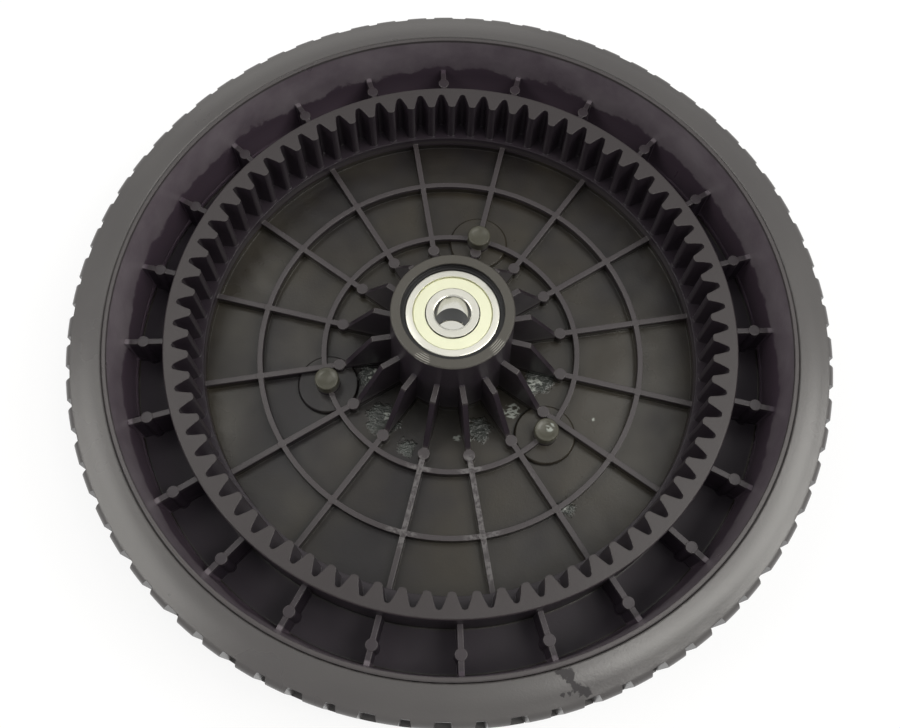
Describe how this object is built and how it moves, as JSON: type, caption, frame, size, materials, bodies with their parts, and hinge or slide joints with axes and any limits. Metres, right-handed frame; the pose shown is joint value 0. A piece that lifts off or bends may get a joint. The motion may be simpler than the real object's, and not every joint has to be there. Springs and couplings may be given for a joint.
{
  "type": "lawn mower drive wheel",
  "caption": "Moulded drive wheel with an internal ring gear, ribbed web, treaded ring tyre and a hub on shielded ball bearings.",
  "frame": {"origin": "on the axle line, in the plane of the rim's outboard lip", "axes": "+Z along the axle towards the gear side; +X and +Y across the wheel"},
  "size_m": [0.26, 0.26, 0.0469],
  "materials": {
    "wheel_plastic": "satin",
    "tyre_plastic": "satin",
    "bearing_steel": "polished",
    "sheet_steel": "satin",
    "sleeve_steel": "satin"
  },
  "bodies": {
    "wheel": {"wheel_body": "wheel_plastic", "tyre": "tyre_plastic", "inboard_outer_ring": "bearing_steel", "inboard_shield_upper": "sheet_steel", "inboard_shield_lower": "sheet_steel", "outboard_outer_ring": "bearing_steel", "outboard_shield_upper": "sheet_steel", "outboard_shield_lower": "sheet_steel"},
    "axle_core": {"inboard_inner_ring": "bearing_steel", "spacer_sleeve": "sleeve_steel", "outboard_inner_ring": "bearing_steel"},
    "inboard_cage": {"inboard_cage_upper": "sheet_steel", "inboard_cage_lower": "sheet_steel", "inboard_cage_rivets": "sheet_steel", "inboard_ball_1": "bearing_steel", "inboard_ball_2": "bearing_steel", "inboard_ball_3": "bearing_steel", "inboard_ball_4": "bearing_steel", "inboard_ball_5": "bearing_steel", "inboard_ball_6": "bearing_steel", "inboard_ball_7": "bearing_steel"},
    "outboard_cage": {"outboard_cage_upper": "sheet_steel", "outboard_cage_lower": "sheet_steel", "outboard_cage_rivets": "sheet_steel", "outboard_ball_1": "bearing_steel", "outboard_ball_2": "bearing_steel", "outboard_ball_3": "bearing_steel", "outboard_ball_4": "bearing_steel", "outboard_ball_5": "bearing_steel", "outboard_ball_6": "bearing_steel", "outboard_ball_7": "bearing_steel"}
  },
  "joints": [
    {"name": "axle_turn", "type": "hinge", "parent": "wheel", "child": "axle_core", "pos_m": [0, 0, 0.03], "axis": [0, 0, 1], "continuous": true},
    {"name": "inboard_cage_turn", "type": "hinge", "parent": "wheel", "child": "inboard_cage", "pos_m": [0, 0, 0.04], "axis": [0, 0, 1], "continuous": true},
    {"name": "outboard_cage_turn", "type": "hinge", "parent": "wheel", "child": "outboard_cage", "pos_m": [0, 0, 0.02], "axis": [0, 0, 1], "continuous": true}
  ],
  "couplings": [
    {"joint": "inboard_cage_turn", "follows": "axle_turn", "ratio": 0.3647},
    {"joint": "outboard_cage_turn", "follows": "axle_turn", "ratio": 0.3647}
  ]
}
